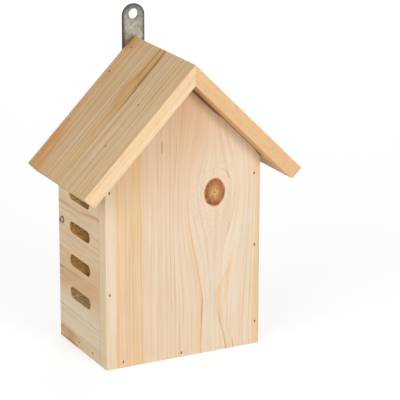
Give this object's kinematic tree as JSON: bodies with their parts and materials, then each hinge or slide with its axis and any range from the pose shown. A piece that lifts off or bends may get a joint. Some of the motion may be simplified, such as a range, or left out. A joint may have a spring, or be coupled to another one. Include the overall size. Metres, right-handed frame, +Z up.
{
  "type": "ladybird house",
  "caption": "Pitched-roof wooden insect house with slotted side walls, a back door that swings out on side screws, and a round-topped steel strip to hang it by.",
  "frame": {"origin": "under the middle of the whole object's box, on the surface that it stands on", "axes": "+X to the right seen from the front, +Y to the back with the hanging strip, +Z up"},
  "size_m": [0.1938, 0.1162, 0.2785],
  "materials": {
    "pine_front": "planed bare pine with upright grain and one knot",
    "pine_side": "planed bare pine with level wavy grain",
    "pine_roof": "planed bare pine with grain down the slope",
    "pine_floor": "planed bare pine",
    "pine_back": "planed bare pine with upright grain",
    "galvanised_steel": "hot-dipped zinc with a spangle, satin",
    "zinc_screw": "bright zinc plate",
    "brad_steel": "dull steel, darkened in its hole"
  },
  "bodies": {
    "house": {"front_panel": "pine_front", "left_wall": "pine_side", "right_wall": "pine_side", "floor_board": "pine_floor", "back_gable": "pine_back", "roof_left": "pine_roof", "roof_right": "pine_roof", "hanging_strip": "galvanised_steel", "strip_screw_1": "zinc_screw", "strip_screw_2": "zinc_screw", "brad_front_left_1": "brad_steel", "brad_front_left_2": "brad_steel", "brad_front_right_1": "brad_steel", "brad_front_right_2": "brad_steel", "brad_front_right_3": "brad_steel", "brad_front_floor_1": "brad_steel", "brad_front_floor_2": "brad_steel", "brad_left_floor_1": "brad_steel", "brad_left_floor_2": "brad_steel", "brad_right_floor_1": "brad_steel", "brad_right_floor_2": "brad_steel", "brad_roof_left_panel_1": "brad_steel", "brad_roof_left_panel_2": "brad_steel", "brad_roof_left_gable_1": "brad_steel", "brad_roof_left_gable_2": "brad_steel", "brad_roof_right_panel_1": "brad_steel", "brad_roof_right_panel_2": "brad_steel", "brad_roof_right_gable_1": "brad_steel", "brad_roof_right_gable_2": "brad_steel", "brad_ridge_left_1": "brad_steel", "brad_ridge_right_1": "brad_steel"},
    "door": {"back_door": "pine_back", "pivot_screw_left": "zinc_screw", "pivot_screw_right": "zinc_screw"}
  },
  "joints": [
    {"name": "door_swing", "type": "hinge", "parent": "house", "child": "door", "pos_m": [0, 0.04637, 0.1045], "axis": [1, 0, 0], "range_deg": [0, 110]}
  ]
}
